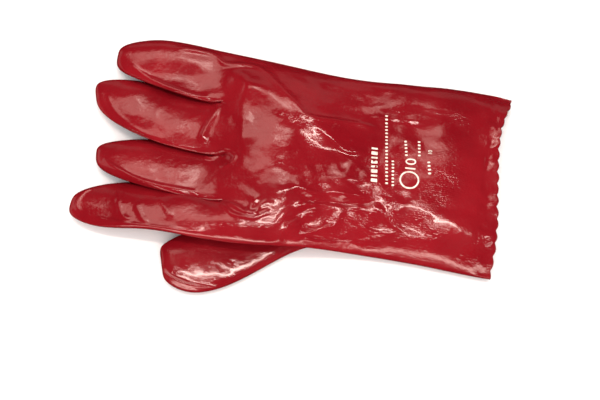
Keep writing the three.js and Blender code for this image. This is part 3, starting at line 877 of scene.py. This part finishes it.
def block(width, height):
    """The outline of a block with its corners cut, about its own middle, as one face."""
    w, h, c = width / 2, height / 2, min(BLOCK_CORNER, width / 3, height / 3)
    points = [
        (-w + c, -h), (w - c, -h), (w, -h + c), (w, h - c),
        (w - c, h), (-w + c, h), (-w, h - c), (-w, -h + c),
    ]
    return points, [tuple(range(len(points)))]


def flat_ring():
    turns = [2 * math.pi * k / RING_STEPS for k in range(RING_STEPS)]
    points = [(math.cos(turn) * r, math.sin(turn) * r) for r in RING_RADII for turn in turns]
    following = [(k + 1) % RING_STEPS for k in range(RING_STEPS)]
    faces = [(k, n, RING_STEPS + n, RING_STEPS + k) for k, n in enumerate(following)]
    return points, faces


def text_faces(text, size):
    curve = bpy.data.curves.new("number", "FONT")
    curve.body = text
    curve.size = size
    curve.align_x = "CENTER"
    curve.align_y = "CENTER"
    holder = bpy.data.objects.new("number", curve)
    bpy.context.scene.collection.objects.link(holder)
    mesh = bpy.data.meshes.new_from_object(holder.evaluated_get(bpy.context.evaluated_depsgraph_get()))
    points = [tuple(v.co)[:2] for v in mesh.vertices]
    faces = [tuple(p.vertices) for p in mesh.polygons]
    bpy.data.objects.remove(holder)
    bpy.data.curves.remove(curve)
    bpy.data.meshes.remove(mesh)
    return points, faces


def print_mesh(surface, offset):
    """Every mark as a thin slab that follows the coat."""
    tree = BVHTree.FromObject(surface, bpy.context.evaluated_depsgraph_get())
    mesh = bmesh.new()

    def stamp(shape, origin, along):
        """Lays a flat shape on the coat, its own first axis along a unit vector in (reach, side)."""
        points, faces = shape
        upward = (along[1], -along[0])
        top, bottom = [], []
        for x, y in points:
            reach = origin[0] + along[0] * x + upward[0] * y
            side = origin[1] + along[1] * x + upward[1] * y
            start = Vector(((-reach + offset[0]) * MM, (side + offset[1]) * MM, ABOVE_GLOVE * MM))
            spot, normal, _, _ = tree.ray_cast(start, Vector((0, 0, -1)))
            top.append(mesh.verts.new(spot + normal * (INK_RISE * MM)))
            bottom.append(mesh.verts.new(spot - normal * (INK_DEPTH * MM)))
        outline = {}
        for face in faces:
            mesh.faces.new([top[v] for v in face])
            mesh.faces.new([bottom[v] for v in reversed(face)])
            for k, a in enumerate(face):
                b = face[(k + 1) % len(face)]
                if (b, a) in outline:
                    del outline[(b, a)]
                else:
                    outline[(a, b)] = True
        for a, b in outline:
            mesh.faces.new([top[b], top[a], bottom[a], bottom[b]])

    for start, end, height, widths in PRINT_ROWS:
        start, end = np.array(start, float), np.array(end, float)
        length = np.linalg.norm(end - start)
        along = (end - start) / length
        gap = (length - sum(widths)) / (len(widths) - 1)
        run = 0.0
        for width in widths:
            stamp(block(width, height), start + along * (run + width / 2), along)
            run += width + gap
    baseline = np.array([PRINT_LEAN, 1.0]) / math.hypot(PRINT_LEAN, 1.0)
    stamp(flat_ring(), RING_PLACE, baseline)
    for text, size, place in NUMBERS:
        stamp(text_faces(text, size), place, baseline)
    result = bpy.data.meshes.new("glove_print")
    bmesh.ops.recalc_face_normals(mesh, faces=mesh.faces)
    mesh.to_mesh(result)
    mesh.free()
    return result


def add_object(name, mesh, materials):
    piece = bpy.data.objects.new(name, mesh)
    bpy.context.scene.collection.objects.link(piece)
    for material in materials:
        mesh.materials.append(material)
    return piece


mesh, offset = coat_mesh()
coat = add_object("glove_coat", mesh, [pvc_material(), jersey_material()])
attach(coat, "root")
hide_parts("glove_shell")

marks = add_object("glove_print", print_mesh(coat, offset), [ink_material()])
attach(marks, "root")

# Floor and lights, in metres and watts
FLOOR_HALF = 4.0
FLOOR_GAP = 0.0004  # how far the floor lies under the glove
GLOVE = (0.0, 0.0, 0.02)  # what the main lights point at

# Name, place, what it points at, size, power, colour
LIGHTS = [
    ("softbox", (-0.42, 0.86, 1.22), GLOVE, (1.25, 0.55), 5.2, (1.0, 0.66, 0.58)),
    ("softbox_core", (-0.26, 0.85, 1.20), GLOVE, (0.34, 0.16), 0.9, (1.0, 0.8, 0.72)),
    ("strip", (0.0, 0.02, 1.5), GLOVE, (0.9, 0.07), 8.0, (1.0, 0.82, 0.74)),
    ("rim", (-0.1, -1.15, 0.5), GLOVE, (1.4, 0.25), 9.0, (1.0, 0.74, 0.66)),
]
# Low soft lights on four sides, so that the glove's flanks shine from every angle: name, X, Y, power
SIDE_LIGHTS = [
    ("far_wall", 0.0, 2.2, 1.6),
    ("near_wall", 0.0, -2.2, 5.0),
    ("left_wall", -2.2, 0.0, 4.0),
    ("right_wall", 2.2, 0.0, 5.0),
]
SIDE_HEIGHT = 0.42
SIDE_TARGET = (0.0, 0.0, 0.1)
SIDE_SIZE = (3.2, 0.7)
SIDE_COLOR = (1.0, 0.78, 0.72)
SKY_STRENGTH = 0.75


def area_light(name, location, target, size, power, color=(1.0, 1.0, 1.0)):
    light = bpy.data.lights.new(name, "AREA")
    light.shape = "RECTANGLE"
    light.size, light.size_y = size
    light.energy = power
    light.color = color
    thing = bpy.data.objects.new(name, light)
    bpy.context.scene.collection.objects.link(thing)
    thing.location = location
    thing.rotation_euler = (Vector(target) - thing.location).to_track_quat("-Z", "Y").to_euler()
    return thing


corners = [(x * FLOOR_HALF, y * FLOOR_HALF, -FLOOR_GAP) for x, y in ((-1, -1), (1, -1), (1, 1), (-1, 1))]
floor_shape = bpy.data.meshes.new("floor")
floor_shape.from_pydata(corners, [], [(0, 1, 2, 3)])
floor = add_object("floor", floor_shape, [floor_material()])
floor.visible_glossy = False  # the coat mirrors the lights alone

for light in LIGHTS:
    area_light(*light)
for name, x, y, power in SIDE_LIGHTS:
    area_light(name, (x, y, SIDE_HEIGHT), SIDE_TARGET, SIDE_SIZE, power, SIDE_COLOR)
fill = area_light("fill", (0.3, -0.6, 2.2), (0.0, 0.0, 0.0), (2.5, 2.5), 28.0)
fill.visible_glossy = False

world = bpy.data.worlds.new("studio")
bpy.context.scene.world = world
world.use_nodes = True
world.node_tree.nodes["Background"].inputs["Color"].default_value = (1, 1, 1, 1)
world.node_tree.nodes["Background"].inputs["Strength"].default_value = SKY_STRENGTH
world.cycles_visibility.glossy = False  # as for the floor

lens = bpy.data.cameras.new("camera")
lens.lens = CAMERA_LENS
camera = bpy.data.objects.new("camera", lens)
bpy.context.scene.collection.objects.link(camera)
azimuth, elevation = math.radians(CAMERA_AZIMUTH), math.radians(CAMERA_ELEVATION)
along_floor = math.cos(elevation)
ahead = Vector((-math.sin(azimuth) * along_floor, math.cos(azimuth) * along_floor, -math.sin(elevation)))
reach, side, height = CAMERA_TARGET
target = Vector(((-reach + offset[0]) * MM, (side + offset[1]) * MM, height * MM))
camera.location = target - ahead * CAMERA_DISTANCE * MM
camera.rotation_euler = ahead.to_track_quat("-Z", "Y").to_euler()
bpy.context.scene.camera = camera
bpy.context.scene.view_settings.view_transform = "Standard"
